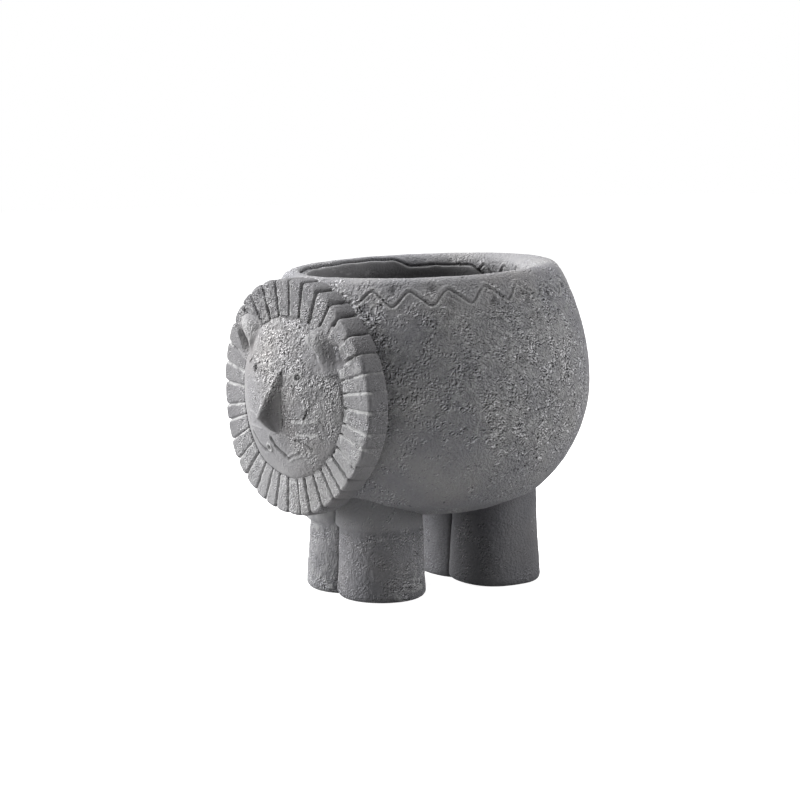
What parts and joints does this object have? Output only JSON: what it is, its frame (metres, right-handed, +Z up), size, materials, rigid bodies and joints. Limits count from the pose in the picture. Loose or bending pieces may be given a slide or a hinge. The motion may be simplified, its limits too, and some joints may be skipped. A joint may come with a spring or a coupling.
{
  "type": "flower pot",
  "caption": "Round-bellied cement planter on stubby legs with a lion's head on its front; holds a plant and drains through its base.",
  "frame": {"origin": "middle of the outline on the surface that the pot stands on", "axes": "+Z up, the lion looks along -Y, +X is the lion's left side"},
  "size_m": [0.164, 0.1776, 0.16],
  "materials": {
    "cement": "rough cast, matt",
    "pale_cement": "rough cast, matt, paler with lime bloom",
    "sealing_coat": "trowelled smooth, matt"
  },
  "bodies": {
    "root": {"pot_bowl": "cement", "inner_coat": "sealing_coat", "mane_ring": "pale_cement", "face": "pale_cement", "nose": "pale_cement", "left_ear": "pale_cement", "right_ear": "pale_cement", "front_left_leg": "cement", "front_right_leg": "cement", "rear_left_leg": "cement", "rear_right_leg": "cement"}
  },
  "joints": []
}
